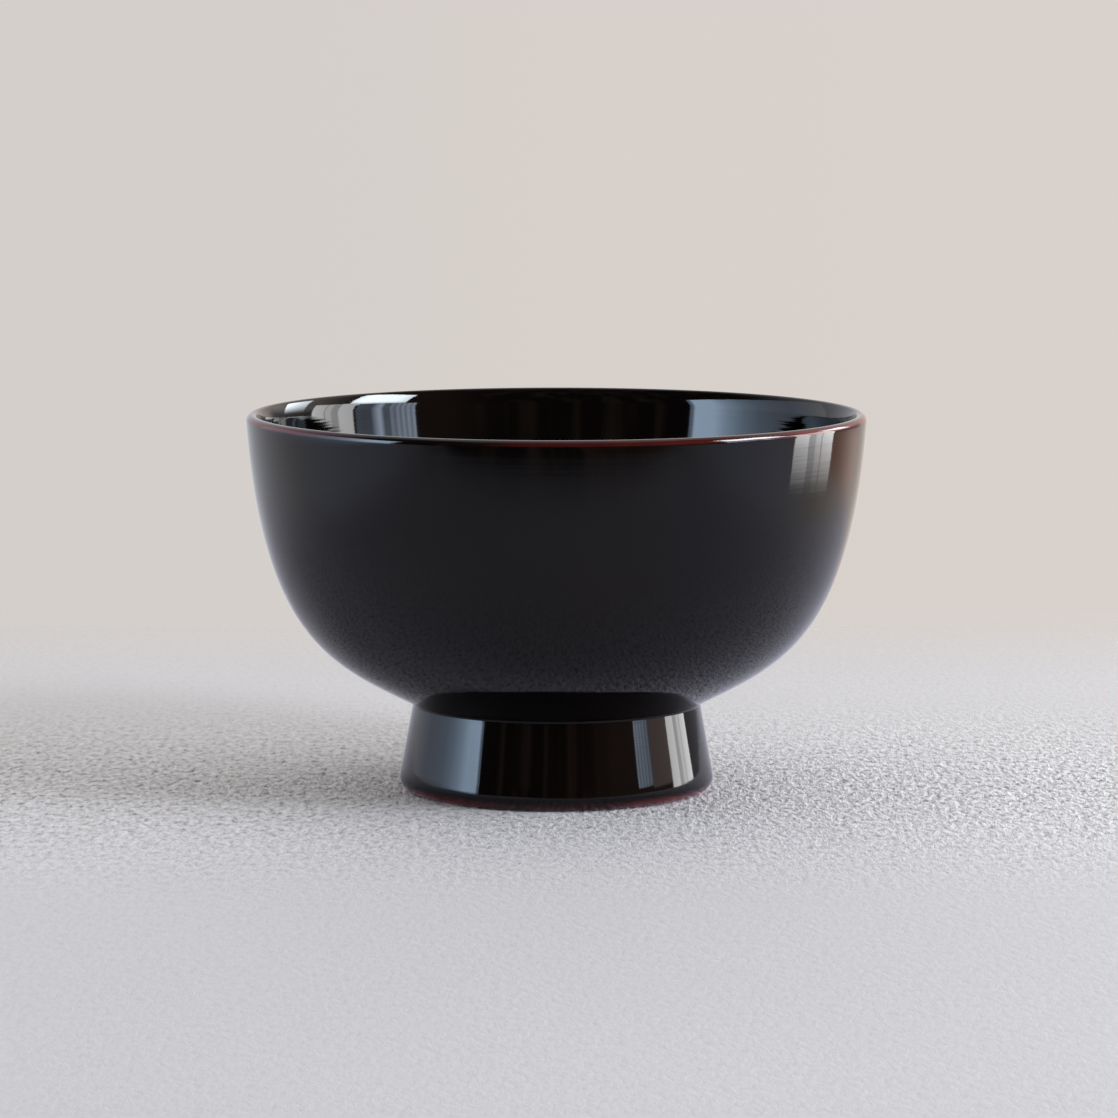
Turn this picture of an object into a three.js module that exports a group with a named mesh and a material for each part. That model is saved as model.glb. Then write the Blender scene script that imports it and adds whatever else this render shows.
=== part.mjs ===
import * as THREE from 'three';

// A footed soup bowl of turned wood under three coats of lacquer.
// Millimetres, +Z up, standing on Z = 0 with the axis of the turning along Z.

// The cup
const RIM_DIAMETER = 120;
const HEIGHT = 73.4;
const RIM_LEAN = THREE.MathUtils.degToRad(4);
const INNER_LEAN = THREE.MathUtils.degToRad(6.5);
const BELLY_SLOPE = THREE.MathUtils.degToRad(28);
const LIP_OUTER_ROUNDING = 1.2;
const LIP_LAND = 0.2;
const LIP_INNER_ROUNDING = 0.7;
const LIP_EASING = 8;
const LIP_EASING_TURN = THREE.MathUtils.degToRad(28);
const FLOOR_THICKNESS = 6.4;
const CORNER_WALL = 9;

// How far the wall keeps its direction: up from the foot, as a share of its reach, and down from the rim,
// as a share of its rise
const BELLY_CARRY = 0.515;
const RIM_CARRY = 0.795;

// The foot
const FOOT_HEIGHT = 17;
const FOOT_TOP_DIAMETER = 55.8;
const FOOT_BASE_DIAMETER = 61.9;
const FOOT_WALL = 5.2;
const FOOT_EDGE_ROUNDING = 2.3;
const FOOT_INNER_ROUNDING = 1;
const FOOT_JOINT_FILLET = 0.5;
const RECESS_FILLET = 2.5;

// The glued joint between cup and foot
const SPIGOT_LENGTH = 4.9;
const SOCKET_LEDGE = 1.5;
const GLUE_FILM = 0.12;

// The coats, from the surface down to the wood, and the hairline left between one coat and the next
const TOPCOAT_THICKNESS = 0.1;
const UNDERCOAT_THICKNESS = 0.1;
const GROUND_THICKNESS = 0.25;
const HAIRLINE = 0.02;

// How finely round stretches are divided
const TURN_STEPS = 32;
const INSIDE_STEPS = 6;
const OUTSIDE_STEPS = 7;
const LIP_STEPS = 2;
const EDGE_STEPS = 3;
const FILLET_STEPS = 2;

const UP = Math.PI / 2;

function point(radius, height) {
  return new THREE.Vector2(radius, height);
}

// A point at some distance from another, in a direction given by its angle above the outward radius.
function polar(from, distance, angle) {
  return point(from.x + distance * Math.cos(angle), from.y + distance * Math.sin(angle));
}

function arc(centre, radius, startAngle, sweep, steps) {
  const angles = Array.from({ length: steps + 1 }, (_, i) => startAngle + (sweep * i) / steps);
  return angles.map((angle) => polar(centre, radius, angle));
}

// The angle through which the outline turns at a corner, to the left where it is positive.
function turnAt(before, corner, after) {
  const arriving = corner.clone().sub(before).normalize();
  const leaving = after.clone().sub(corner).normalize();
  return Math.atan2(arriving.cross(leaving), arriving.dot(leaving));
}

// How far from a corner its rounding starts and ends.
function roundingReach(before, corner, after, radius) {
  return radius * Math.tan(Math.abs(turnAt(before, corner, after)) / 2);
}

function roundedCorner(before, corner, after, radius, steps) {
  const turn = turnAt(before, corner, after);
  const arriving = corner.clone().sub(before).angle();
  const start = polar(corner, -roundingReach(before, corner, after, radius), arriving);
  const towardsCentre = arriving + Math.sign(turn) * UP;
  const centre = polar(start, radius, towardsCentre);
  return arc(centre, radius, towardsCentre + Math.PI, turn, steps);
}

function curve(points, steps) {
  return new THREE.CubicBezierCurve(...points).getPoints(steps);
}

// Corners of the finished section, before rounding
const footJoint = point(FOOT_TOP_DIAMETER / 2, FOOT_HEIGHT);
const footBase = point(FOOT_BASE_DIAMETER / 2, 0);
const footInnerBase = point(footBase.x - FOOT_WALL, 0);
const footFlare = (footBase.x - footJoint.x) / FOOT_HEIGHT;
const recessDepth = FOOT_HEIGHT - SPIGOT_LENGTH;
const recessCorner = point(footInnerBase.x - footFlare * recessDepth, recessDepth);
const recessCentre = point(0, recessDepth);
const insideCentre = point(0, recessDepth + FLOOR_THICKNESS);

// The lip is two roundings with a narrow land between them, and an easing that leads up to the inner one
const lipOuterCentre = point(RIM_DIAMETER / 2 - LIP_OUTER_ROUNDING, HEIGHT - LIP_OUTER_ROUNDING);
const lipInnerCentre = point(lipOuterCentre.x - LIP_LAND, HEIGHT - LIP_INNER_ROUNDING);
const easingEnd = Math.PI - LIP_EASING_TURN;
const easingCentre = polar(lipInnerCentre, LIP_INNER_ROUNDING - LIP_EASING, easingEnd);
const lipOutside = arc(lipOuterCentre, LIP_OUTER_ROUNDING, UP, -UP - RIM_LEAN, LIP_STEPS);
const lipInside = [
  ...arc(easingCentre, LIP_EASING, Math.PI - INNER_LEAN, INNER_LEAN - LIP_EASING_TURN, LIP_STEPS),
  ...arc(lipInnerCentre, LIP_INNER_ROUNDING, easingEnd, LIP_EASING_TURN - UP, LIP_STEPS).slice(1),
];

// The outer wall is one sweep from the foot to the lip, and the inner wall follows its upper half
const bellyDirection = polar(footJoint, 1, BELLY_SLOPE);
const filletReach = roundingReach(bellyDirection, footJoint, footBase, FOOT_JOINT_FILLET);
const wallFoot = polar(footJoint, filletReach, BELLY_SLOPE);
const wallTop = lipOutside.at(-1);
const wallLow = polar(wallFoot, BELLY_CARRY * (wallTop.x - wallFoot.x), BELLY_SLOPE);
const wallHigh = polar(wallTop, -RIM_CARRY * (wallTop.y - wallFoot.y), UP - RIM_LEAN);
const insideLow = point(wallLow.x - CORNER_WALL, insideCentre.y);
const insideDrop = (lipInside[0].y - wallHigh.y) / Math.cos(INNER_LEAN);
const insideHigh = polar(lipInside[0], -insideDrop, UP - INNER_LEAN);

const inside = [
  ...curve([insideCentre, insideLow, insideHigh, lipInside[0]], INSIDE_STEPS),
  ...lipInside.slice(1),
];
const outside = [
  ...lipOutside,
  ...curve([wallTop, wallHigh, wallLow, wallFoot], OUTSIDE_STEPS).slice(1),
];
const footInnerEdge = roundedCorner(
  footBase, footInnerBase, recessCorner, FOOT_INNER_ROUNDING, FILLET_STEPS,
);
const foot = [
  ...roundedCorner(bellyDirection, footJoint, footBase, FOOT_JOINT_FILLET, FILLET_STEPS),
  ...roundedCorner(footJoint, footBase, footInnerBase, FOOT_EDGE_ROUNDING, EDGE_STEPS),
  footInnerEdge[0],
];
const recess = [
  ...footInnerEdge,
  ...roundedCorner(footInnerBase, recessCorner, recessCentre, RECESS_FILLET, FILLET_STEPS),
  recessCentre,
];

// The whole section, walked from the floor inside, over the lip and under the foot, with the wood on the
// right. Each coat is brushed on in four stretches, which meet at the crest, at the joint and inside the
// resting ring.
const section = [...inside, ...outside, ...foot.slice(1), ...recess.slice(1)];
const crestIndex = inside.length - 1;
const jointIndex = crestIndex + outside.length;
const restIndex = jointIndex + foot.length - 1;
const stretches = {
  inside: [0, crestIndex],
  outside: [crestIndex, jointIndex],
  foot: [jointIndex, restIndex],
  recess: [restIndex, section.length - 1],
};

// The section moved into the wood by a depth, each corner along its mitre. The axis mirrors its neighbour.
function inset(depth) {
  const normals = section.slice(1).map((end, i) => {
    const along = end.clone().sub(section[i]).normalize();
    return point(along.y, -along.x);
  });
  return section.map((corner, i) => {
    const after = normals[i] ?? point(-normals.at(-1).x, normals.at(-1).y);
    const before = normals[i - 1] ?? point(-after.x, after.y);
    const mitre = before.clone().add(after);
    return corner.clone().addScaledVector(mitre, depth / (1 + before.dot(after)));
  });
}

function stretch(points, name) {
  const [first, last] = stretches[name];
  return points.slice(first, last + 1);
}

// A stretch drawn back by half a hairline at each end that isn't on the axis.
function drawnBack(points) {
  const ends = points.map((corner) => corner.clone());
  const gap = HAIRLINE / 2;
  const start = points[1].clone().sub(points[0]).setLength(points[0].x > gap ? gap : 0);
  const finish = points.at(-2).clone().sub(points.at(-1)).setLength(points.at(-1).x > gap ? gap : 0);
  ends[0].add(start);
  ends.at(-1).add(finish);
  return ends;
}

// Turns a section about Z. A section that doesn't end on the axis is closed on itself.
function turned(name, outline, material) {
  const profile = THREE.ShapeUtils.area(outline) < 0 ? [...outline].reverse() : [...outline];
  if (profile[0].x > 0 || profile.at(-1).x > 0) {
    profile.push(profile[0].clone());
  }
  const geometry = new THREE.LatheGeometry(profile, TURN_STEPS);
  geometry.rotateX(UP);
  const mesh = new THREE.Mesh(geometry, new THREE.MeshStandardMaterial(material));
  mesh.name = name;
  return mesh;
}

const WOOD = { color: 0xb98d5c, roughness: 0.7, metalness: 0 };
const GLUE = { color: 0x5a4026, roughness: 0.5, metalness: 0 };
const GROUND = { color: 0x3b332b, roughness: 0.9, metalness: 0 };
const RED = { color: 0x7a1712, roughness: 0.4, metalness: 0 };
const DARK = { color: 0x140b09, roughness: 0.08, metalness: 0 };

const bowl = new THREE.Group();

// Coats, one after another from the surface down. Each covers the four stretches of the section.
const coats = [
  { name: 'topcoat', thickness: TOPCOAT_THICKNESS, material: DARK },
  { name: 'undercoat', thickness: UNDERCOAT_THICKNESS, material: RED },
  { name: 'ground', thickness: GROUND_THICKNESS, material: GROUND },
];
let depth = 0;
for (const coat of coats) {
  const face = inset(depth);
  const back = inset(depth + coat.thickness);
  for (const name of Object.keys(stretches)) {
    const outline = [...drawnBack(stretch(face, name)), ...drawnBack(stretch(back, name)).reverse()];
    bowl.add(turned(`${coat.name}_${name}`, outline, coat.material));
  }
  depth += coat.thickness + HAIRLINE;
}

// The wood lies under all the coats. The cup's shoulder sits on the foot, and its spigot fills the socket.
const wood = inset(depth);
const shoulder = wood[jointIndex];
const [ceilingEdge, ceiling] = wood.slice(-2);
const glueGap = GLUE_FILM + 2 * HAIRLINE;
const socketRadius = ceilingEdge.x - SOCKET_LEDGE;
const spigotRadius = socketRadius - glueGap;
const footTop = shoulder.y - glueGap;

const cup = [
  ...stretch(wood, 'inside'),
  ...stretch(wood, 'outside').slice(1),
  point(spigotRadius, shoulder.y),
  point(spigotRadius, ceiling.y),
  ceiling,
];
bowl.add(turned('bowl_core', cup, WOOD));

// The foot starts where its outline passes the level of its top face.
const footWood = stretch(wood, 'foot');
const below = footWood.findIndex((corner) => corner.y < footTop);
const above = footWood[below - 1];
const share = (above.y - footTop) / (above.y - footWood[below].y);
const footTopEdge = above.clone().lerp(footWood[below], share);
const ring = [
  footTopEdge,
  ...footWood.slice(below),
  ...stretch(wood, 'recess').slice(1, -1),
  point(socketRadius, ceiling.y),
  point(socketRadius, footTop),
];
bowl.add(turned('foot_ring', ring, WOOD));

// The glue lies on the shoulder and runs down round the spigot.
const glue = [
  point(spigotRadius + HAIRLINE, ceiling.y),
  point(socketRadius - HAIRLINE, ceiling.y),
  point(socketRadius - HAIRLINE, footTop + HAIRLINE),
  point(footTopEdge.x, footTop + HAIRLINE),
  point(footTopEdge.x, shoulder.y - HAIRLINE),
  point(spigotRadius + HAIRLINE, shoulder.y - HAIRLINE),
];
bowl.add(turned('joint_glue', glue, GLUE));

export default bowl;
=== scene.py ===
import math

import bpy
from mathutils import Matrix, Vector


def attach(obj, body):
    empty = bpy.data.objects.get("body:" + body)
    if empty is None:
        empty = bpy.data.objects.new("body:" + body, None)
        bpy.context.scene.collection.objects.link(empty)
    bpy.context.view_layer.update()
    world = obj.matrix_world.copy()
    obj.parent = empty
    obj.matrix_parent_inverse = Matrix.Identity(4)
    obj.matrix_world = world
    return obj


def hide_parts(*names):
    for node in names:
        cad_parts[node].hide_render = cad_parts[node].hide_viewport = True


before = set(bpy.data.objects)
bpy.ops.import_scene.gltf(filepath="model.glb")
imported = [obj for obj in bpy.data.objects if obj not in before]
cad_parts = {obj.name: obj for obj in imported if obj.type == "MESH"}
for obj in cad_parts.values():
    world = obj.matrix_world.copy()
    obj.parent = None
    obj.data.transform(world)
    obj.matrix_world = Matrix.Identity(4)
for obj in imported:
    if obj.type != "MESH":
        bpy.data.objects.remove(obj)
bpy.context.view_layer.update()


# The cup is the body of the bowl, turned on a lathe from one block of close-grained wood.
# Its section follows the finished bowl less the coats of lacquer, and a short round spigot
# under its floor fits the socket of the foot.

RIM_RADIUS = 0.0600
HEIGHT = 0.0734
RIM_LEAN = math.radians(4)
INNER_LEAN = math.radians(6.5)
BELLY_SLOPE = math.radians(28)
BELLY_CARRY = 0.515
RIM_CARRY = 0.795
LIP_OUTER_ROUNDING = 0.0012
LIP_LAND = 0.0002
LIP_INNER_ROUNDING = 0.0007
LIP_EASING = 0.0080
LIP_EASING_TURN = math.radians(28)
FLOOR_THICKNESS = 0.0064
CORNER_WALL = 0.0090
FOOT_HEIGHT = 0.0170
FOOT_TOP_RADIUS = 0.0279
FOOT_BASE_RADIUS = 0.03095
FOOT_WALL = 0.0052
FOOT_EDGE_ROUNDING = 0.0023
FOOT_INNER_ROUNDING = 0.0010
FOOT_JOINT_FILLET = 0.0005
RECESS_FILLET = 0.0025
SPIGOT_LENGTH = 0.0049
SOCKET_LEDGE = 0.0015
GLUE_FILM = 0.00012
TOPCOAT_THICKNESS = 0.0001
UNDERCOAT_THICKNESS = 0.0001
GROUND_THICKNESS = 0.00025
HAIRLINE = 0.00002
UP = math.pi / 2

WALL_STEPS = 72
LIP_STEPS = 16
EDGE_STEPS = 16
STRAIGHT_STEPS = 16
TURN_STEPS = 160


def polar(start, distance, angle):
    return (start[0] + distance * math.cos(angle), start[1] + distance * math.sin(angle))


def arc(centre, radius, start, sweep, steps):
    return [polar(centre, radius, start + sweep * i / steps) for i in range(steps + 1)]


def straight(start, end, steps):
    shares = [i / steps for i in range(steps + 1)]
    return [(start[0] + (end[0] - start[0]) * s, start[1] + (end[1] - start[1]) * s) for s in shares]


def sweep_curve(a, b, c, d, steps):
    """A cubic curve from a to d that leaves towards b and arrives from c."""
    points = []
    for i in range(steps + 1):
        t = i / steps
        weights = ((1 - t) ** 3, 3 * t * (1 - t) ** 2, 3 * t * t * (1 - t), t ** 3)
        points.append(tuple(sum(w * p[k] for w, p in zip(weights, (a, b, c, d))) for k in (0, 1)))
    return points


def rounded_corner(before, corner, after, radius, steps):
    """The arc that rounds a corner on the way from before to after."""
    arriving = math.atan2(corner[1] - before[1], corner[0] - before[0])
    leaving = math.atan2(after[1] - corner[1], after[0] - corner[0])
    turn = (leaving - arriving + math.pi) % (2 * math.pi) - math.pi
    start = polar(corner, -radius * math.tan(abs(turn) / 2), arriving)
    towards_centre = arriving + math.copysign(UP, turn)
    return arc(polar(start, radius, towards_centre), radius, towards_centre + math.pi, turn, steps)


foot_joint = (FOOT_TOP_RADIUS, FOOT_HEIGHT)
foot_base = (FOOT_BASE_RADIUS, 0.0)
foot_inner_base = (FOOT_BASE_RADIUS - FOOT_WALL, 0.0)
foot_flare = (FOOT_BASE_RADIUS - FOOT_TOP_RADIUS) / FOOT_HEIGHT
recess_depth = FOOT_HEIGHT - SPIGOT_LENGTH
recess_corner = (foot_inner_base[0] - foot_flare * recess_depth, recess_depth)
recess_centre = (0.0, recess_depth)
inside_centre = (0.0, recess_depth + FLOOR_THICKNESS)

lip_outer_centre = (RIM_RADIUS - LIP_OUTER_ROUNDING, HEIGHT - LIP_OUTER_ROUNDING)
lip_inner_centre = (lip_outer_centre[0] - LIP_LAND, HEIGHT - LIP_INNER_ROUNDING)
easing_end = math.pi - LIP_EASING_TURN
easing_centre = polar(lip_inner_centre, LIP_INNER_ROUNDING - LIP_EASING, easing_end)
lip_outer_arc = arc(lip_outer_centre, LIP_OUTER_ROUNDING, UP, -UP - RIM_LEAN, LIP_STEPS)
lip_easing_arc = arc(easing_centre, LIP_EASING, math.pi - INNER_LEAN, INNER_LEAN - LIP_EASING_TURN, LIP_STEPS)
lip_inner_arc = arc(lip_inner_centre, LIP_INNER_ROUNDING, easing_end, LIP_EASING_TURN - UP, LIP_STEPS)

belly_ahead = polar(foot_joint, RIM_RADIUS, BELLY_SLOPE)
joint_arc = rounded_corner(belly_ahead, foot_joint, foot_base, FOOT_JOINT_FILLET, EDGE_STEPS)
wall_foot = joint_arc[0]
wall_top = lip_outer_arc[-1]
wall_low = polar(wall_foot, BELLY_CARRY * (wall_top[0] - wall_foot[0]), BELLY_SLOPE)
wall_high = polar(wall_top, -RIM_CARRY * (wall_top[1] - wall_foot[1]), UP - RIM_LEAN)
inside_low = (wall_low[0] - CORNER_WALL, inside_centre[1])
inside_drop = (lip_easing_arc[0][1] - wall_high[1]) / math.cos(INNER_LEAN)
inside_high = polar(lip_easing_arc[0], -inside_drop, UP - INNER_LEAN)
base_arc = rounded_corner(foot_joint, foot_base, foot_inner_base, FOOT_EDGE_ROUNDING, EDGE_STEPS)
inner_edge_arc = rounded_corner(foot_base, foot_inner_base, recess_corner, FOOT_INNER_ROUNDING, EDGE_STEPS)
ceiling_arc = rounded_corner(foot_inner_base, recess_corner, recess_centre, RECESS_FILLET, EDGE_STEPS)

# The finished section, walked from the floor inside, over the lip and under the foot, with the wood
# on the right. The brush stops at the crest of the lip, at the joint and inside the resting ring.
inside_wall = sweep_curve(inside_centre, inside_low, inside_high, lip_easing_arc[0], WALL_STEPS)
outside_wall = sweep_curve(wall_top, wall_high, wall_low, wall_foot, WALL_STEPS)
inside = inside_wall + lip_easing_arc[1:] + lip_inner_arc[1:]
outside = lip_outer_arc + outside_wall[1:]
foot = joint_arc[1:] + straight(joint_arc[-1], base_arc[0], STRAIGHT_STEPS)[1:] + base_arc[1:]
resting = [inner_edge_arc[0]]
recess = inner_edge_arc[1:] + straight(inner_edge_arc[-1], ceiling_arc[0], STRAIGHT_STEPS)[1:]
recess += ceiling_arc[1:] + straight(ceiling_arc[-1], recess_centre, STRAIGHT_STEPS)[1:]
section = inside + outside + foot + resting + recess
crest_index = len(inside) - 1
joint_index = crest_index + len(outside)
rest_index = joint_index + len(foot) + len(resting)
stretches = {
    "inside": (0, crest_index),
    "outside": (crest_index, joint_index),
    "foot": (joint_index, rest_index),
    "recess": (rest_index, len(section) - 1),
}


def inset(depth):
    """The section moved into the wood by a depth, each corner along its mitre."""
    sides = []
    for (x0, y0), (x1, y1) in zip(section, section[1:]):
        length = math.hypot(x1 - x0, y1 - y0)
        sides.append(((y1 - y0) / length, (x0 - x1) / length))
    sides = [(-sides[0][0], sides[0][1])] + sides + [(-sides[-1][0], sides[-1][1])]
    moved = []
    for (x, y), before, after in zip(section, sides, sides[1:]):
        share = depth / (1 + before[0] * after[0] + before[1] * after[1])
        moved.append((x + (before[0] + after[0]) * share, y + (before[1] + after[1]) * share))
    return moved


def stretch(points, name):
    first, last = stretches[name]
    return points[first:last + 1]


# The lathe: a section carried round the axis on a small hub circle, closed on itself at the poles.
HUB_RADIUS = 0.001
POLE_MERGE = 1e-6
lathe = bpy.data.node_groups.new("turned_on_the_lathe", "GeometryNodeTree")
lathe.interface.new_socket("Section", in_out="INPUT", socket_type="NodeSocketGeometry")
lathe_steps = lathe.interface.new_socket("Turn Steps", in_out="INPUT", socket_type="NodeSocketInt")
lathe_hub = lathe.interface.new_socket("Hub Radius", in_out="INPUT", socket_type="NodeSocketFloat")
lathe_finish = lathe.interface.new_socket("Finish", in_out="INPUT", socket_type="NodeSocketMaterial")
lathe.interface.new_socket("Piece", in_out="OUTPUT", socket_type="NodeSocketGeometry")


def put(tree, kind, inputs=None, **settings):
    """Adds a node. An input, by name or number, takes a value or another node's output."""
    node = tree.nodes.new(kind)
    for key, value in settings.items():
        setattr(node, key, value)
    for key, value in (inputs or {}).items():
        if isinstance(value, bpy.types.NodeSocket):
            tree.links.new(value, node.inputs[key])
        else:
            node.inputs[key].default_value = value
    return node


given = put(lathe, "NodeGroupInput").outputs
tool_path = put(lathe, "GeometryNodeMeshToCurve", {"Mesh": given["Section"]})
hub = put(lathe, "GeometryNodeCurvePrimitiveCircle", {
    "Resolution": given["Turn Steps"], "Radius": given["Hub Radius"]})
skin = put(lathe, "GeometryNodeCurveToMesh", {
    "Curve": hub.outputs["Curve"], "Profile Curve": tool_path.outputs["Curve"]})
closed_skin = put(lathe, "GeometryNodeMergeByDistance", {
    "Geometry": skin.outputs["Mesh"], "Distance": POLE_MERGE})
smooth_skin = put(lathe, "GeometryNodeSetShadeSmooth", {"Geometry": closed_skin.outputs["Geometry"]})
whole = put(lathe, "GeometryNodeRealizeInstances", {"Geometry": smooth_skin.outputs["Geometry"]})
finished = put(lathe, "GeometryNodeSetMaterial", {
    "Geometry": whole.outputs["Geometry"], "Material": given["Finish"]})
put(lathe, "NodeGroupOutput", {"Piece": finished.outputs["Geometry"]})


def turned(name, outline, finish, marks=None):
    """A piece turned from its outline. Marks are values along the outline, kept on the surface."""
    marks = dict(marks or {})
    around = list(zip(outline, outline[1:] + outline[:1]))
    if sum(x0 * y1 - x1 * y0 for (x0, y0), (x1, y1) in around) > 0:
        outline = outline[::-1]
        marks = {mark: values[::-1] for mark, values in marks.items()}
    on_axis = [x < POLE_MERGE for x, _ in outline]
    axis_edge = [i for i in range(len(outline)) if on_axis[i - 1] and on_axis[i]]
    if axis_edge:
        first = axis_edge[0]
        outline = outline[first:] + outline[:first]
        marks = {mark: values[first:] + values[:first] for mark, values in marks.items()}
    edges = [(i, i + 1) for i in range(len(outline) - 1)]
    if not axis_edge:
        edges.append((len(outline) - 1, 0))
    drawing = bpy.data.meshes.new(name + "_section")
    drawing.from_pydata([(x - HUB_RADIUS, -y, 0) for x, y in outline], edges, [])
    for mark, values in marks.items():
        drawing.attributes.new(mark, "FLOAT", "POINT").data.foreach_set("value", values)
    blank = bpy.data.objects.new(name + "_blank", drawing)
    bpy.context.scene.collection.objects.link(blank)
    turning = blank.modifiers.new("Turning", "NODES")
    turning.node_group = lathe
    turning[lathe_steps.identifier] = TURN_STEPS
    turning[lathe_hub.identifier] = HUB_RADIUS
    turning[lathe_finish.identifier] = finish
    depsgraph = bpy.context.evaluated_depsgraph_get()
    mesh = bpy.data.meshes.new_from_object(blank.evaluated_get(depsgraph), depsgraph=depsgraph)
    bpy.data.objects.remove(blank)
    bpy.data.meshes.remove(drawing)
    mesh.name = name
    piece = bpy.data.objects.new(name, mesh)
    bpy.context.scene.collection.objects.link(piece)
    return piece


def new_finish(name):
    finish = bpy.data.materials.new(name)
    finish.use_nodes = True
    return finish, finish.node_tree, finish.node_tree.nodes["Principled BSDF"]


def reckoned(tree, operation, *values):
    return put(tree, "ShaderNodeMath", dict(enumerate(values)), operation=operation).outputs["Value"]


def scaled(tree, place, scale, **turning):
    return put(tree, "ShaderNodeMapping", {"Vector": place, "Scale": scale, **turning}).outputs["Vector"]


def noise(tree, place, fineness, detail, **more):
    """Cloudy values about 0.5. The fineness is in clouds to the metre."""
    return put(tree, "ShaderNodeTexNoise", {
        "Vector": place, "Scale": fineness, "Detail": detail, **more}).outputs["Fac"]


def raised(tree, height, distance, strength=1.0, over=None):
    """The normal of a surface raised by a height, over that of another bump if there is one."""
    inputs = {"Height": height, "Strength": strength, "Distance": distance}
    if over is not None:
        inputs["Normal"] = over
    return put(tree, "ShaderNodeBump", inputs).outputs["Normal"]


def colour_steps(tree, factor, steps, blend="LINEAR"):
    """A ramp of colours, each at its place from 0 to 1."""
    ramp = put(tree, "ShaderNodeValToRGB", {"Fac": factor})
    ramp.color_ramp.interpolation = blend
    elements = ramp.color_ramp.elements
    elements[0].position = steps[0][0]
    elements[1].position = steps[-1][0]
    for place, _ in steps[1:-1]:
        elements.new(place)
    for element, (_, colour) in zip(elements, steps):
        element.color = (*colour, 1.0)
    return ramp.outputs["Color"]


# Growth rings run across the cup, because the block is cut with its grain level.
WOOD_PALE = (0.55, 0.33, 0.15)
WOOD_BROWN = (0.48, 0.27, 0.11)
WOOD_DARK = (0.33, 0.165, 0.062)
RING_SPACING = 0.0035
RING_WAVE_SCALE = 0.3
GRAIN_TILT = (0.0, 0.15, 0.0)
GRAIN_STRETCH = (0.12, 1.0, 1.0)
FIBRE_FINENESS = 2600.0
FIBRE_HEIGHT = 0.00005

turned_wood, tree, shader = new_finish("turned_wood_grain")
place = put(tree, "ShaderNodeTexCoord").outputs["Object"]
across = scaled(tree, place, GRAIN_STRETCH, Rotation=GRAIN_TILT)
rings = put(tree, "ShaderNodeTexWave", {
    "Vector": across, "Scale": RING_WAVE_SCALE / RING_SPACING, "Distortion": 3.0, "Detail": 3.0,
    "Detail Scale": 0.6}, wave_type="RINGS", rings_direction="X").outputs["Fac"]
fibre = noise(tree, across, FIBRE_FINENESS, 4.0, Roughness=0.6)
tree.links.new(colour_steps(tree, reckoned(tree, "MULTIPLY", rings, fibre), [
    (0.0, WOOD_PALE), (0.35, WOOD_BROWN), (0.8, WOOD_DARK)]), shader.inputs["Base Color"])
tree.links.new(raised(tree, fibre, FIBRE_HEIGHT, 0.3), shader.inputs["Normal"])
shader.inputs["Roughness"].default_value = 0.62

wood_depth = TOPCOAT_THICKNESS + UNDERCOAT_THICKNESS + GROUND_THICKNESS + 3 * HAIRLINE
wood = inset(wood_depth)
shoulder = wood[joint_index]
ceiling_edge = wood[rest_index + len(recess) - STRAIGHT_STEPS]
ceiling = wood[-1]
glue_gap = GLUE_FILM + 2 * HAIRLINE
socket_radius = ceiling_edge[0] - SOCKET_LEDGE
spigot_radius = socket_radius - glue_gap
foot_top = shoulder[1] - glue_gap

cup_outline = stretch(wood, "inside") + stretch(wood, "outside")[1:]
cup_outline += straight(shoulder, (spigot_radius, shoulder[1]), EDGE_STEPS)[1:]
cup_outline += straight((spigot_radius, shoulder[1]), (spigot_radius, ceiling[1]), EDGE_STEPS)[1:]
cup_outline += straight((spigot_radius, ceiling[1]), ceiling, STRAIGHT_STEPS)[1:]
cup = turned("turned_cup", cup_outline, turned_wood)
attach(cup, "root")
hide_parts("bowl_core")


# The foot is a flared ring turned from the same wood. Its socket takes the spigot of the cup,
# and its flat top carries the shoulder.

foot_wood = stretch(wood, "foot")
below = next(i for i, (_, y) in enumerate(foot_wood) if y < foot_top)
over, under = foot_wood[below - 1], foot_wood[below]
share = (over[1] - foot_top) / (over[1] - under[1])
foot_top_edge = (over[0] + (under[0] - over[0]) * share, foot_top)
recess_wall = stretch(wood, "recess")[1:len(recess) - STRAIGHT_STEPS + 1]

ring_outline = [foot_top_edge] + foot_wood[below:] + recess_wall
ring_outline += straight(ring_outline[-1], (socket_radius, ceiling[1]), EDGE_STEPS)[1:]
ring_outline += straight((socket_radius, ceiling[1]), (socket_radius, foot_top), EDGE_STEPS)[1:]
ring_outline += straight((socket_radius, foot_top), foot_top_edge, EDGE_STEPS)[1:-1]
ring = turned("turned_foot_ring", ring_outline, turned_wood)
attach(ring, "root")
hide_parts("foot_ring")


# The glue is a thin brown film, brushed on the spigot and the shoulder before the foot is pressed
# home. It fills the gap between the two turned pieces.

GLUE_DARK = (0.07, 0.034, 0.013)
GLUE_PALE = (0.13, 0.066, 0.027)
GLUE_MOTTLE_SIZE = 0.004
GLUE_LUMP_HEIGHT = 0.00004

glue_finish, tree, shader = new_finish("joint_glue_film")
place = put(tree, "ShaderNodeTexCoord").outputs["Object"]
mottle = noise(tree, place, 1 / GLUE_MOTTLE_SIZE, 3.0)
tree.links.new(
    colour_steps(tree, mottle, [(0.3, GLUE_DARK), (0.7, GLUE_PALE)]), shader.inputs["Base Color"])
tree.links.new(raised(tree, mottle, GLUE_LUMP_HEIGHT, 0.4), shader.inputs["Normal"])
shader.inputs["Roughness"].default_value = 0.45

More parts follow.
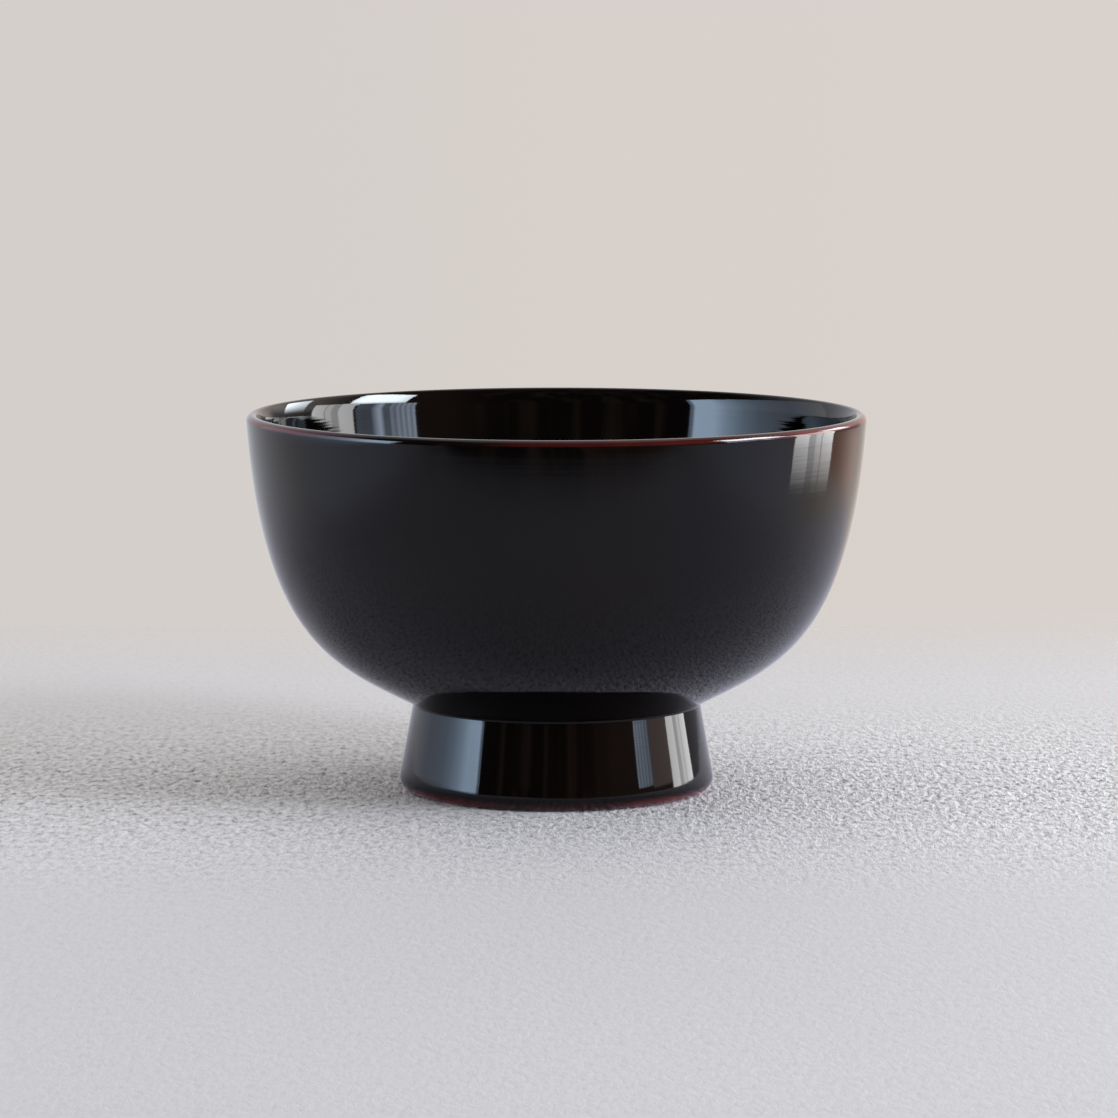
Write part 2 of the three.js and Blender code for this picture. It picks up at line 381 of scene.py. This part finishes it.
glue_inner = spigot_radius + HAIRLINE
glue_outer = socket_radius - HAIRLINE
glue_under = foot_top + HAIRLINE
glue_over = shoulder[1] - HAIRLINE
glue_outline = straight((glue_inner, ceiling[1]), (glue_outer, ceiling[1]), 1)
glue_outline += straight((glue_outer, ceiling[1]), (glue_outer, glue_under), EDGE_STEPS)[1:]
glue_outline += straight((glue_outer, glue_under), (foot_top_edge[0], glue_under), EDGE_STEPS)[1:]
glue_outline += straight((foot_top_edge[0], glue_over), (glue_inner, glue_over), EDGE_STEPS)
glue_outline += straight((glue_inner, glue_over), (glue_inner, ceiling[1]), EDGE_STEPS)[1:-1]
glue = turned("joint_glue_line", glue_outline, glue_finish)
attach(glue, "root")
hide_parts("joint_glue")


# The ground is a paste of fired clay and raw lacquer, spread over the wood with a spatula and
# rubbed flat. It is dark grey-brown and matt, and it is laid in four stretches.

GROUND_DARK = (0.031, 0.023, 0.017)
GROUND_PALE = (0.058, 0.044, 0.033)
GROUND_GRIT_SIZE = 0.0004
GROUND_GRIT_HEIGHT = 0.00002


def drawn_back(points):
    """A stretch drawn back by half a hairline at each end that isn't on the axis."""
    ends = list(points)
    for end, neighbour in ((0, 1), (-1, -2)):
        (x, y), (nx, ny) = points[end], points[neighbour]
        gap = HAIRLINE / 2 / math.hypot(nx - x, ny - y) if x > HAIRLINE else 0.0
        ends[end] = (x + (nx - x) * gap, y + (ny - y) * gap)
    return ends


def brushed_coat(coat, depth, thickness, finish, marks=None):
    """One coat over the four stretches of the section, each a closed thin skin."""
    face = inset(depth)
    back = inset(depth + thickness)
    for name in stretches:
        outline = drawn_back(stretch(face, name)) + drawn_back(stretch(back, name))[::-1]
        along = {}
        for mark, values in (marks or {}).items():
            kept = stretch(values, name)
            along[mark] = kept + kept[::-1]
        skin_piece = turned(coat + "_" + name + "_skin", outline, finish, along)
        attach(skin_piece, "root")
        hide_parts(coat + "_" + name)


ground_finish, tree, shader = new_finish("ground_paste")
place = put(tree, "ShaderNodeTexCoord").outputs["Object"]
grit = noise(tree, place, 1 / GROUND_GRIT_SIZE, 4.0, Roughness=0.7)
tree.links.new(
    colour_steps(tree, grit, [(0.3, GROUND_DARK), (0.7, GROUND_PALE)]), shader.inputs["Base Color"])
tree.links.new(raised(tree, grit, GROUND_GRIT_HEIGHT, 0.5), shader.inputs["Normal"])
shader.inputs["Roughness"].default_value = 0.85
ground_depth = TOPCOAT_THICKNESS + UNDERCOAT_THICKNESS + 2 * HAIRLINE
brushed_coat("ground", ground_depth, GROUND_THICKNESS, ground_finish)


# The undercoat is red lacquer, brushed over the ground and rubbed to an even satin. It is the red
# that shows wherever the dark coat above it is thin.

RED_DARK = (0.165, 0.0075, 0.005)
RED_BRIGHT = (0.225, 0.011, 0.0075)
BRUSH_STROKE_SIZE = 0.0008
BRUSH_STROKE_STRETCH = (0.08, 0.08, 1.0)
BRUSH_STROKE_HEIGHT = 0.000004

red_finish, tree, shader = new_finish("red_undercoat_lacquer")
place = put(tree, "ShaderNodeTexCoord").outputs["Object"]
stroke = noise(tree, scaled(tree, place, BRUSH_STROKE_STRETCH), 1 / BRUSH_STROKE_SIZE, 3.0)
tree.links.new(
    colour_steps(tree, stroke, [(0.3, RED_DARK), (0.7, RED_BRIGHT)]), shader.inputs["Base Color"])
tree.links.new(raised(tree, stroke, BRUSH_STROKE_HEIGHT, 0.3), shader.inputs["Normal"])
shader.inputs["Roughness"].default_value = 0.38
brushed_coat("undercoat", TOPCOAT_THICKNESS + HAIRLINE, UNDERCOAT_THICKNESS, red_finish)


# The top coat is clear brown lacquer, so deep over the red that it looks black. It is brushed round
# the bowl in one go, draws back from the lip and from the bottom edge of the foot, where the red
# glows through, and is polished to a mirror with faint rings left by the brush.

DEEP_LACQUER = (0.0007, 0.0005, 0.00045)
BROWN_LACQUER = (0.0026, 0.0011, 0.0008)
MAROON_LACQUER = (0.020, 0.0030, 0.0025)
RED_GLOW = (0.044, 0.0054, 0.0045)
BARE_RED = (0.078, 0.0068, 0.0062)
LACQUER_IOR = 1.335
CREST_THINNESS = 0.46
LIP_THINNESS = 0.80
LIP_BARE_FROM = math.radians(66)
LIP_BARE_TO = math.radians(72)
LIP_COVERED_FROM = math.radians(97)
INNER_LIP_COVERED_FROM = math.radians(40)
EDGE_COVERED_TO = math.radians(4)
EDGE_BARE_FROM = math.radians(46)

section_travel = [0.0]
for (x0, y0), (x1, y1) in zip(section, section[1:]):
    section_travel.append(section_travel[-1] + math.hypot(x1 - x0, y1 - y0))


def eased(value, start, end):
    """Rises smoothly from 0 at the start to 1 at the end."""
    share = min(max((value - start) / (end - start), 0.0), 1.0)
    return share * share * (3 - 2 * share)


# How thin the coat is at each point of the section, by the way the surface turns there.
coat_thinness = [0.0] * len(section)
for step in range(LIP_STEPS + 1):
    outward = (UP + RIM_LEAN) * step / LIP_STEPS
    drawn = CREST_THINNESS + (LIP_THINNESS - CREST_THINNESS) * eased(outward, 0.0, LIP_BARE_FROM)
    coat_thinness[crest_index + 1 + step] = drawn * (1 - eased(outward, LIP_BARE_TO, LIP_COVERED_FROM))
    inward = (UP - LIP_EASING_TURN) * step / LIP_STEPS
    coat_thinness[crest_index - step] = CREST_THINNESS * (1 - eased(inward, 0.0, INNER_LIP_COVERED_FROM))
for step in range(EDGE_STEPS + 1):
    downward = UP * (1 - step / EDGE_STEPS)
    coat_thinness[rest_index - 1 - step] = eased(downward, EDGE_COVERED_TO, EDGE_BARE_FROM)
    coat_thinness[rest_index + step] = 1 - eased(step, 0, EDGE_STEPS)


def spread(tree, value, limits, results=(0.0, 1.0), way="SMOOTHSTEP"):
    """Turns a value between two limits into one between two results, and holds it beyond them."""
    return put(tree, "ShaderNodeMapRange", {
        "Value": value, "From Min": limits[0], "From Max": limits[1],
        "To Min": results[0], "To Max": results[1]}, interpolation_type=way).outputs["Result"]


dark_finish, tree, shader = new_finish("dark_topcoat_lacquer")
place = put(tree, "ShaderNodeTexCoord").outputs["Object"]
apart = put(tree, "ShaderNodeSeparateXYZ", {"Vector": place}).outputs
travel = put(tree, "ShaderNodeAttribute", attribute_name="section_travel").outputs["Fac"]
thinness = put(tree, "ShaderNodeAttribute", attribute_name="coat_thinness").outputs["Fac"]
round_bowl = put(tree, "ShaderNodeCombineXYZ", {
    "X": apart["X"], "Y": apart["Y"], "Z": travel}).outputs["Vector"]

# Along its edges the coat draws back in patches, and one heavy spot keeps the lip dark. The red of the
# lip is also painted brighter on the two sides, as painted side light, and the red at the foot's edge is
# painted darker in front, as painted shade; neither is a change in the coat. Elsewhere its depth drifts
# slowly.
NOISE_SPAN = (0.3, 0.7)
PATCH_FINENESS = 150.0
PATCH_SHARES = (0.74, 1.06)
LIP_SIDES = (0.038, 0.049)
# The sides and shares below paint light on the two sides of the lip and shade on the front of the foot's
# edge.
LIP_SIDE_PAINTED_LIGHT = 1.4
FOOT_SIDES = (0.008, 0.020)
FOOT_FRONT_PAINTED_SHADE = 0.62
ABOVE_FOOT = (0.020, 0.030)
HEAVY_SPOT = (-0.0245, -0.0537, 0.0727)
HEAVY_REACH = (0.008, 0.022)
HEAVY_SHARE = 0.25
DRIFT_FINENESS = 34.0
DRIFT_MOST = 0.14
patches = noise(tree, place, PATCH_FINENESS, 4.0, Roughness=0.6)
patch_share = spread(tree, patches, NOISE_SPAN, PATCH_SHARES, "LINEAR")
aside = reckoned(tree, "ABSOLUTE", apart["X"])
# Painted light and shade: the lip's red is brightened on the sides and the foot's red darkened in front.
lip_painted_side_light = spread(tree, aside, LIP_SIDES, (1.0, LIP_SIDE_PAINTED_LIGHT))
foot_painted_front_shade = spread(tree, aside, FOOT_SIDES, (FOOT_FRONT_PAINTED_SHADE, 1.0))
painted_light_and_shade_share = spread(tree, apart["Z"], ABOVE_FOOT, (foot_painted_front_shade, lip_painted_side_light), "LINEAR")
from_spot = put(tree, "ShaderNodeVectorMath", {
    0: place, 1: HEAVY_SPOT}, operation="DISTANCE").outputs["Value"]
spot_share = spread(tree, from_spot, HEAVY_REACH, (HEAVY_SHARE, 1.0))
glow = thinness
for drawn_or_painted_share in (patch_share, painted_light_and_shade_share, spot_share):
    glow = reckoned(tree, "MULTIPLY", glow, drawn_or_painted_share)
drift = spread(tree, noise(tree, place, DRIFT_FINENESS, 2.0), NOISE_SPAN, (0.0, DRIFT_MOST), "LINEAR")
tree.links.new(colour_steps(tree, reckoned(tree, "MAXIMUM", glow, drift), [
    (0.0, DEEP_LACQUER), (0.20, BROWN_LACQUER), (0.46, MAROON_LACQUER), (0.78, RED_GLOW), (1.0, BARE_RED)]),
    shader.inputs["Base Color"])

# Brush rings, slow waves in the coat, and a little haze where hands have held it. Polishing has turned
# the foot's wall slightly inwards above its bottom edge, by a slope that grows with the distance.
BRUSH_RING_SCALE = (28.0, 28.0, 1500.0)
BRUSH_RING_HEIGHT = 0.000007
SLOW_WAVE_SCALE = (45.0, 45.0, 90.0)
SLOW_WAVE_HEIGHT = 0.00005
HAZE_FINENESS = 60.0
HAZE_SPAN = (0.35, 0.7)
HAZE_ROUGHNESS = (0.03, 0.06)
BASE_TURN_FROM = 0.005
BASE_TURN_PER_METRE = 35.0
brush_rings = noise(tree, scaled(tree, round_bowl, BRUSH_RING_SCALE), 1.0, 3.0, Roughness=0.55)
slow_waves = noise(tree, scaled(tree, round_bowl, SLOW_WAVE_SCALE), 1.0, 1.0)
haze = spread(tree, noise(tree, place, HAZE_FINENESS, 4.0), HAZE_SPAN, HAZE_ROUGHNESS, "LINEAR")
tree.links.new(haze, shader.inputs["Roughness"])
into_base = put(tree, "ShaderNodeMath", {
    0: BASE_TURN_FROM, 1: apart["Z"]}, operation="SUBTRACT", use_clamp=True).outputs["Value"]
into_base_square = reckoned(tree, "MULTIPLY", into_base, into_base)
base_fall = reckoned(tree, "MULTIPLY", into_base_square, -BASE_TURN_PER_METRE / 2)
polish = raised(tree, slow_waves, SLOW_WAVE_HEIGHT)
polish = raised(tree, brush_rings, BRUSH_RING_HEIGHT, over=polish)
polish = raised(tree, base_fall, 1.0, over=polish)
tree.links.new(polish, shader.inputs["Normal"])
shader.inputs["IOR"].default_value = LACQUER_IOR
brushed_coat("topcoat", 0.0, TOPCOAT_THICKNESS, dark_finish, {
    "section_travel": section_travel, "coat_thinness": coat_thinness})


# The setting is a pale grey napped cloth, laid flat, which fades into a plain pale surround. It lies a
# hair below the foot and is open inside the resting ring, so that light reaches the recess. Its mirror
# image in the bowl is cooler and fades sooner.

CLOTH_COLOUR = (0.585, 0.580, 0.588)
MIRRORED_TINT = (0.96, 0.98, 1.12)
CLOTH_LEVEL = -0.00003
CLOTH_SIDE = (0.27, 0.34)
CLOTH_SIDE_MIRRORED = (0.15, 0.29)
CLOTH_FRONT = (0.30, 0.365)
CLOTH_FRONT_MIRRORED = (0.17, 0.365)
CLOTH_BACK = (0.13, 0.31)
OPEN_UNDER_FOOT = (0.0240, 0.0225)
CLOTH_GRAIN = (0.0013, 0.0030)
# Nap colour steps: partly the cloth's own tones, and at the dark end painted shadow in the pits of the nap.
NAP_TONES_AND_SHADING = ((0.28, 0.22), (0.40, 0.75), (0.50, 1.02), (0.70, 1.38))
NAP_RAISED = (0.0, 0.13)
NAP_FLATTEST = 0.90
NAP_HEIGHT = 0.0008


def blended(tree, factor, first, second, way="MIX"):
    """Two colours, given or from other nodes, mixed by a factor."""
    first, second = ((*c, 1.0) if isinstance(c, tuple) else c for c in (first, second))
    return put(tree, "ShaderNodeMix", {"Factor": factor, 6: first, 7: second},
               data_type="RGBA", blend_type=way).outputs[2]


cloth_side, cloth_front, cloth_back = CLOTH_SIDE[1], CLOTH_FRONT[1], CLOTH_BACK[1]
cloth_corners = [
    (-cloth_side, -cloth_front), (cloth_side, -cloth_front),
    (cloth_side, cloth_back), (-cloth_side, cloth_back)]
cloth_mesh = bpy.data.meshes.new("table_cloth")
cloth_mesh.from_pydata([(x, y, CLOTH_LEVEL) for x, y in cloth_corners], [], [(0, 1, 2, 3)])
cloth = bpy.data.objects.new("table_cloth", cloth_mesh)
bpy.context.scene.collection.objects.link(cloth)

cloth_finish, tree, shader = new_finish("pale_cloth")
place = put(tree, "ShaderNodeTexCoord").outputs["Object"]
apart = put(tree, "ShaderNodeSeparateXYZ", {"Vector": place}).outputs
mirrored = put(tree, "ShaderNodeLightPath").outputs["Is Glossy Ray"]
nap_place = scaled(tree, place, (1 / CLOTH_GRAIN[0], 1 / CLOTH_GRAIN[1], 1.0))
nap = noise(tree, nap_place, 1.0, 3.0, Roughness=0.65, Distortion=0.4)
# The nap's colours are partly its own tones and partly painted light and shade: the dark specks are painted
# shadow in its pits, and the spread of light and dark stands in for low light falling across the nap.
nap_tones_and_shading = colour_steps(tree, nap, [
    (depth, tuple(c * shade for c in CLOTH_COLOUR)) for depth, shade in NAP_TONES_AND_SHADING])

# The nap is brushed flat away from the middle
from_middle = reckoned(tree, "ABSOLUTE", apart["Y"])
flatness = reckoned(tree, "MULTIPLY", spread(tree, from_middle, NAP_RAISED), NAP_FLATTEST)
flatter_nap = blended(tree, flatness, nap_tones_and_shading, CLOTH_COLOUR)
mirror_tint = blended(tree, mirrored, (1.0, 1.0, 1.0), MIRRORED_TINT)
tree.links.new(blended(tree, 1.0, flatter_nap, mirror_tint, "MULTIPLY"), shader.inputs["Base Color"])
nap_strength = reckoned(tree, "SUBTRACT", 1.0, flatness)
tree.links.new(raised(tree, nap, NAP_HEIGHT, nap_strength), shader.inputs["Normal"])
shader.inputs["Roughness"].default_value = 0.95
shader.inputs["Specular IOR Level"].default_value = 0.1

# Its edges, its underside and the part under the foot are clear
aside = reckoned(tree, "ABSOLUTE", apart["X"])
ahead = reckoned(tree, "MULTIPLY", apart["Y"], -1.0)
from_axis = put(tree, "ShaderNodeVectorMath", {0: place}, operation="LENGTH").outputs["Value"]
gone = put(tree, "ShaderNodeNewGeometry").outputs["Backfacing"]
for fade in (
        spread(tree, aside, CLOTH_SIDE),
        spread(tree, ahead, CLOTH_FRONT),
        reckoned(tree, "MULTIPLY", spread(tree, ahead, CLOTH_FRONT_MIRRORED), mirrored),
        reckoned(tree, "MULTIPLY", spread(tree, aside, CLOTH_SIDE_MIRRORED), mirrored),
        spread(tree, apart["Y"], CLOTH_BACK),
        spread(tree, from_axis, OPEN_UNDER_FOOT)):
    gone = reckoned(tree, "MAXIMUM", gone, fade)
nothing = put(tree, "ShaderNodeBsdfTransparent")
edge_mix = put(tree, "ShaderNodeMixShader", {
    "Fac": gone, 1: shader.outputs["BSDF"], 2: nothing.outputs["BSDF"]})
tree.links.new(edge_mix.outputs["Shader"], tree.nodes["Material Output"].inputs["Surface"])
cloth_mesh.materials.append(cloth_finish)


# The light comes from sky at the right, low down from both sides, from behind and from overhead. The
# lamps light the bowl and the cloth. What the bowl mirrors stands beside it as glowing cards: a pale
# screen on the left, brightest at its near end, and windows on the right with sky above them.

NEUTRAL_COOL = (0.97, 1.0, 1.03)


def soft_light(name, centre, target, width, height, radiance, tint, mirrored=False):
    lamp = bpy.data.lights.new(name, "AREA")
    lamp.shape = "RECTANGLE"
    lamp.size = width
    lamp.size_y = height
    lamp.energy = radiance * math.pi * width * height
    lamp.color = tint
    holder = bpy.data.objects.new(name, lamp)
    holder.location = centre
    holder.rotation_euler = (Vector(target) - Vector(centre)).to_track_quat("-Z", "Y").to_euler()
    holder.visible_camera = False
    holder.visible_glossy = mirrored
    bpy.context.scene.collection.objects.link(holder)


def side_light(name, x, near, far, low, high, radiance, tint):
    """An upright lamp that faces the bowl's axis from one side."""
    middle = ((near + far) / 2, (low + high) / 2)
    soft_light(name, (x, *middle), (0.0, *middle), far - near, high - low, radiance, tint)


side_light("sky_light", x=1.10, near=-0.95, far=-0.45, low=0.51, high=1.00, radiance=18.0,
           tint=(0.92, 0.96, 1.12))
side_light("low_right_light", x=0.75, near=-0.40, far=0.40, low=0.00, high=0.12, radiance=38.0,
           tint=NEUTRAL_COOL)
side_light("low_left_light", x=-0.75, near=-0.40, far=0.40, low=0.00, high=0.12, radiance=14.5,
           tint=(0.96, 1.0, 1.04))
soft_light("back_light", centre=(0.0, 1.15, 0.40), target=(0.0, 0.0, 0.0), width=1.2, height=0.5,
           radiance=3.4, tint=(1.06, 1.0, 0.94))
soft_light("overhead_light", centre=(0.0, 0.1, 1.15), target=(0.0, 0.1, 0.0), width=0.9, height=0.9,
           radiance=0.55, tint=NEUTRAL_COOL, mirrored=True)

SCREEN_COOL = (0.76, 1.0, 1.32)
SCREEN_PALE = (0.88, 1.0, 1.28)
WHITE = (1.0, 1.0, 1.0)
SHADE_BLUE = (0.84, 1.0, 1.25)
SILL_BROWN = (1.26, 1.0, 0.96)
SKY_BLUE = (0.90, 1.0, 1.08)
LOWER_PART = (0.09, 0.15)


def tinted(tint, *steps):
    return [(start, radiance, tint) for start, radiance in steps]


def glowing_card(name, x, low, high, foot, bands, blend="LINEAR", lower_share=1.0):
    """An upright card, seen only in the bowl's mirror. Its bands run from near to far, each a start,
    a radiance and a tint. It may be dimmer in its lower part, and it fades away between two heights
    at its foot."""
    near, far = bands[0][0], bands[-1][0]
    brightest = max(radiance for _, radiance, _ in bands)
    mesh = bpy.data.meshes.new(name)
    mesh.from_pydata([(x, near, low), (x, far, low), (x, far, high), (x, near, high)], [], [(0, 1, 2, 3)])
    card = bpy.data.objects.new(name, mesh)
    bpy.context.scene.collection.objects.link(card)
    card.visible_camera = False
    card.visible_diffuse = False
    card.visible_shadow = False
    glass = bpy.data.materials.new(name)
    glass.use_nodes = True
    tree = glass.node_tree
    tree.nodes.clear()
    apart = put(tree, "ShaderNodeSeparateXYZ", {
        "Vector": put(tree, "ShaderNodeTexCoord").outputs["Object"]}).outputs
    colour = colour_steps(tree, spread(tree, apart["Y"], (near, far), way="LINEAR"), [
        ((start - near) / (far - near), tuple(radiance / brightest * c for c in tint))
        for start, radiance, tint in bands], blend)
    strength = spread(tree, apart["Z"], LOWER_PART, (lower_share * brightest, brightest), "LINEAR")
    light = put(tree, "ShaderNodeEmission", {"Color": colour, "Strength": strength})
    nothing = put(tree, "ShaderNodeBsdfTransparent")
    faded = put(tree, "ShaderNodeMixShader", {
        "Fac": spread(tree, apart["Z"], foot), 1: nothing.outputs["BSDF"], 2: light.outputs["Emission"]})
    put(tree, "ShaderNodeOutputMaterial", {"Surface": faded.outputs["Shader"]})
    mesh.materials.append(glass)


glowing_card("left_screen", x=-0.55, low=-0.03, high=0.38, foot=(-0.03, 0.03), lower_share=0.76, bands=[
    *tinted(SCREEN_COOL, (-0.345, 3.0), (-0.324, 4.5), (-0.312, 13.0), (-0.20, 12.2), (-0.13, 7.6),
            (-0.05, 4.5), (0.03, 2.8)),
    *tinted(SCREEN_PALE, (0.13, 1.9), (0.23, 1.4)), *tinted(WHITE, (0.60, 1.1))])
glowing_card("curtained_window", x=0.55, low=-0.085, high=0.29, foot=(-0.085, 0.005), blend="CONSTANT",
             bands=tinted(WHITE, (0.036, 12.0), (0.118, 6.4), (0.163, 9.0), (0.203, 5.0), (0.211, 9.2),
                          (0.305, 9.2)))
glowing_card("shaded_window", x=0.55, low=0.045, high=0.28, foot=(0.045, 0.058), lower_share=0.57,
             blend="CONSTANT", bands=tinted(
                 SHADE_BLUE, (-0.295, 8.8), (-0.279, 5.6), (-0.264, 8.6), (-0.249, 5.2), (-0.234, 8.2),
                 (-0.220, 4.8), (-0.206, 7.4), (-0.190, 4.2), (-0.176, 6.0), (-0.158, 2.8), (-0.122, 2.0),
                 (-0.055, 2.0), (-0.005, 2.2), (0.022, 2.2)))
glowing_card("gap_in_the_shade", x=0.549, low=0.10, high=0.28, foot=(0.10, 0.13),
             bands=tinted(SHADE_BLUE, (-0.122, 4.0), (-0.103, 10.5), (-0.060, 2.5)))
glowing_card("brown_sill", x=0.548, low=0.02, high=0.105, foot=(0.02, 0.04),
             bands=tinted(SILL_BROWN, (-0.150, 1.14), (0.030, 1.14)))
glowing_card("near_sky", x=1.10, low=0.36, high=1.00, foot=(0.36, 0.62),
             bands=tinted(SKY_BLUE, (-0.48, 30.0), (-0.36, 42.0), (0.0, 42.0), (0.12, 30.0)))
glowing_card("far_sky", x=1.10, low=0.24, high=0.75, foot=(0.24, 0.64),
             bands=tinted(SKY_BLUE, (0.72, 12.0), (1.25, 16.0)))


# The surround is pale to the camera and lights the bowl evenly. In reflections it is pale behind the
# bowl, brown beyond the windows and dim towards the viewer, and the table on either side of the cloth
# is cool. The limits are parts of a direction: to the right, away from the viewer or up.

SURROUND_COLOUR = (0.660, 0.623, 0.596)
SURROUND_RIGHT = (0.695, 0.640, 0.598)
SURROUND_ACROSS = (-0.12, 0.12)
AMBIENT = (0.47, 0.445, 0.43)
ROOM_DIM = (0.06, 0.05, 0.045)
ROOM_STRIPE = (0.24, 0.17, 0.14)
STRIPE_SCALE = (9.0, 9.0, 0.8)
STRIPE_SPAN = (0.42, 0.70)
ROOM_BROWN = (0.24, 0.17, 0.14)
ROOM_BROWN_RIGHT = (0.3, 0.8)
TABLE_COOL = (0.92, 0.99, 1.22)
TABLE_ASIDE = (0.55, 0.95)
TABLE_DOWN = (0.08, 0.16)
WALL_PALE = (0.76, 0.77, 0.84)
WALL_WARM = (0.92, 0.82, 0.75)
WALL_ACROSS = (-0.2, 0.2)
WALL_TAN = (1.25, 0.92, 0.80)
WALL_BROWN = (0.90, 0.52, 0.40)
TAN_TO_BROWN_RIGHT = (0.58, 0.82)
BROWN_SIDE_RIGHT = (0.42, 0.56)
BROWN_SIDE_UP = (-0.22, -0.17)
ROOM_SHADE = (0.32, 0.31, 0.35)
ROOM_SHADE_UP = (-0.135, -0.075)
WALL_LIT = (1.30, 1.16, 1.10)
WALL_LIT_UP = (0.10, 0.25)
BEHIND_AWAY = (-0.05, 0.45)

room = bpy.data.worlds.new("room")
bpy.context.scene.world = room
room.use_nodes = True
tree = room.node_tree
tree.nodes.clear()
towards = put(tree, "ShaderNodeTexCoord").outputs["Generated"]
to_right, away, upward = put(tree, "ShaderNodeSeparateXYZ", {"Vector": towards}).outputs
path = put(tree, "ShaderNodeLightPath").outputs

on_table = reckoned(
    tree, "MULTIPLY", spread(tree, reckoned(tree, "ABSOLUTE", to_right), TABLE_ASIDE),
    spread(tree, reckoned(tree, "MULTIPLY", upward, -1.0), TABLE_DOWN))
stripes = noise(tree, scaled(tree, towards, STRIPE_SCALE), 1.0, 2.0)
before = blended(tree, spread(tree, stripes, STRIPE_SPAN), ROOM_DIM, ROOM_STRIPE)
before = blended(tree, spread(tree, to_right, ROOM_BROWN_RIGHT), before, ROOM_BROWN)
before = blended(tree, on_table, before, TABLE_COOL)

brown_side = reckoned(
    tree, "MULTIPLY", spread(tree, to_right, BROWN_SIDE_RIGHT), spread(tree, upward, BROWN_SIDE_UP))
beyond_windows = blended(tree, spread(tree, to_right, TAN_TO_BROWN_RIGHT), WALL_TAN, WALL_BROWN)
beyond_windows = blended(tree, spread(tree, upward, ROOM_SHADE_UP), beyond_windows, ROOM_SHADE)
beyond_windows = blended(tree, spread(tree, upward, WALL_LIT_UP), beyond_windows, WALL_LIT)
wall = blended(tree, spread(tree, to_right, WALL_ACROSS), WALL_PALE, WALL_WARM)
behind = blended(tree, brown_side, wall, beyond_windows)

room_colour = blended(tree, spread(tree, away, BEHIND_AWAY), before, behind)
seen_surround = blended(tree, spread(tree, to_right, SURROUND_ACROSS), SURROUND_COLOUR, SURROUND_RIGHT)
seen_colour = blended(tree, path["Is Glossy Ray"], AMBIENT, room_colour)
seen_colour = blended(tree, path["Is Camera Ray"], seen_colour, seen_surround)
surround = put(tree, "ShaderNodeBackground", {"Color": seen_colour, "Strength": 1.0})
put(tree, "ShaderNodeOutputWorld", {"Surface": surround.outputs["Background"]})


# The camera stands about a metre in front, a little above the lip, and looks slightly down through a
# long lens.

CAMERA_PLACE = (0.000485, -0.96411, 0.15751)
CAMERA_DIP = math.radians(6.665)
CAMERA_LENS = 161.0
CAMERA_SENSOR = 36.0
view = bpy.data.cameras.new("front_view")
view.lens = CAMERA_LENS
view.sensor_width = CAMERA_SENSOR
view_holder = bpy.data.objects.new("front_view", view)
view_holder.location = CAMERA_PLACE
view_holder.rotation_euler = (UP - CAMERA_DIP, 0.0, 0.0)
bpy.context.scene.collection.objects.link(view_holder)
bpy.context.scene.camera = view_holder
bpy.context.scene.view_settings.view_transform = "Standard"
